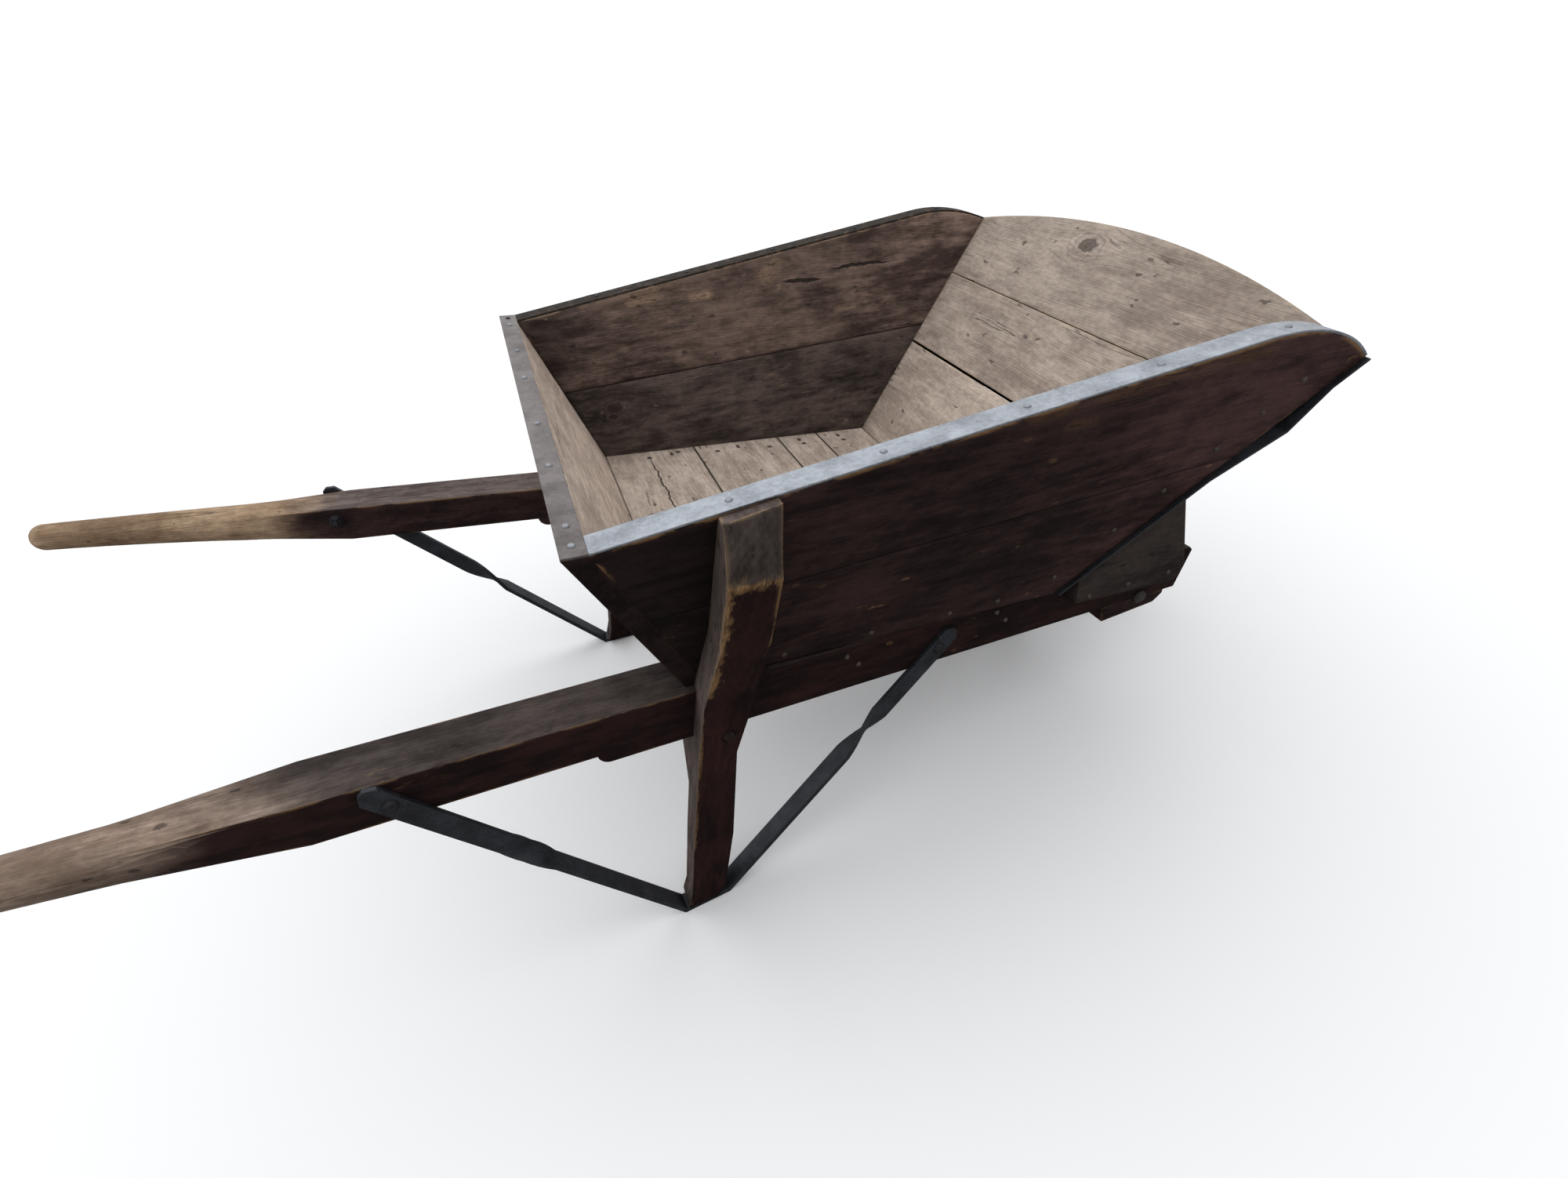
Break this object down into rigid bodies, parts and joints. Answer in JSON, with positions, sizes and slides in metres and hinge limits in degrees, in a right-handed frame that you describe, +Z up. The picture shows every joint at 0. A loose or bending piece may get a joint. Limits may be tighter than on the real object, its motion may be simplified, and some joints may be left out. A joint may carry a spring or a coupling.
{
  "type": "wheelbarrow",
  "caption": "Old wooden wheelbarrow with a flared boarded tray, metal rim strips, tapered handles, braced legs and an iron wheel that turns freely.",
  "frame": {"origin": "on the ground, under the middle of the overall length, in the plane of symmetry", "axes": "+X forward to the wheel, +Y to the left for the person who pushes, +Z up; the barrow stands on its feet and its wheel"},
  "size_m": [1.5513, 0.7408, 0.5884],
  "materials": {
    "timber": "weathered dark brown timber, worn pale on the arrises",
    "side_wood": "weathered very dark brown boards",
    "floor_wood": "bare grey-brown boards, dry and scuffed",
    "galvanised": "dull galvanised strip",
    "wrought_iron": "blue-black forged iron",
    "wheel_iron": "dark iron with rust",
    "cast_hub": "rough cast iron",
    "fastener": "dull rusted iron"
  },
  "bodies": {
    "frame": {"beam_right": "timber", "beam_left": "timber", "cross_rail_rear": "timber", "cross_rail_front": "timber", "leg_right": "timber", "leg_left": "timber", "cheek_right": "timber", "cheek_left": "timber", "bearing_right": "timber", "bearing_left": "timber", "floor_board_rear": "floor_wood", "floor_board_middle": "floor_wood", "floor_board_narrow": "floor_wood", "floor_board_front": "floor_wood", "front_board_lower": "floor_wood", "front_board_middle": "floor_wood", "front_board_upper": "floor_wood", "side_right_lower": "side_wood", "side_right_upper": "side_wood", "side_left_lower": "side_wood", "side_left_upper": "side_wood", "tailboard": "side_wood", "side_strip_right": "galvanised", "side_strip_left": "galvanised", "tail_strip": "galvanised", "edge_strap_right": "wrought_iron", "edge_strap_left": "wrought_iron", "brace_right": "wrought_iron", "brace_left": "wrought_iron", "leg_bolts": "fastener", "leg_nuts": "fastener", "brace_bolts": "fastener", "brace_nuts": "fastener", "bearing_bolts": "fastener", "bearing_nuts": "fastener", "strip_nails": "fastener", "floor_nails": "fastener", "side_nails": "fastener", "tail_nails": "fastener", "front_nails": "fastener", "cheek_nails": "fastener", "rail_nails": "fastener"},
    "wheel": {"tyre": "wheel_iron", "spokes": "wheel_iron", "hub": "cast_hub", "hub_pin": "fastener", "axle": "wheel_iron", "collars": "wheel_iron", "collar_pins": "fastener"}
  },
  "joints": [
    {"name": "wheel_spin", "type": "hinge", "parent": "frame", "child": "wheel", "pos_m": [0.59568, 0, 0.18], "axis": [0, 1, 0], "continuous": true}
  ]
}
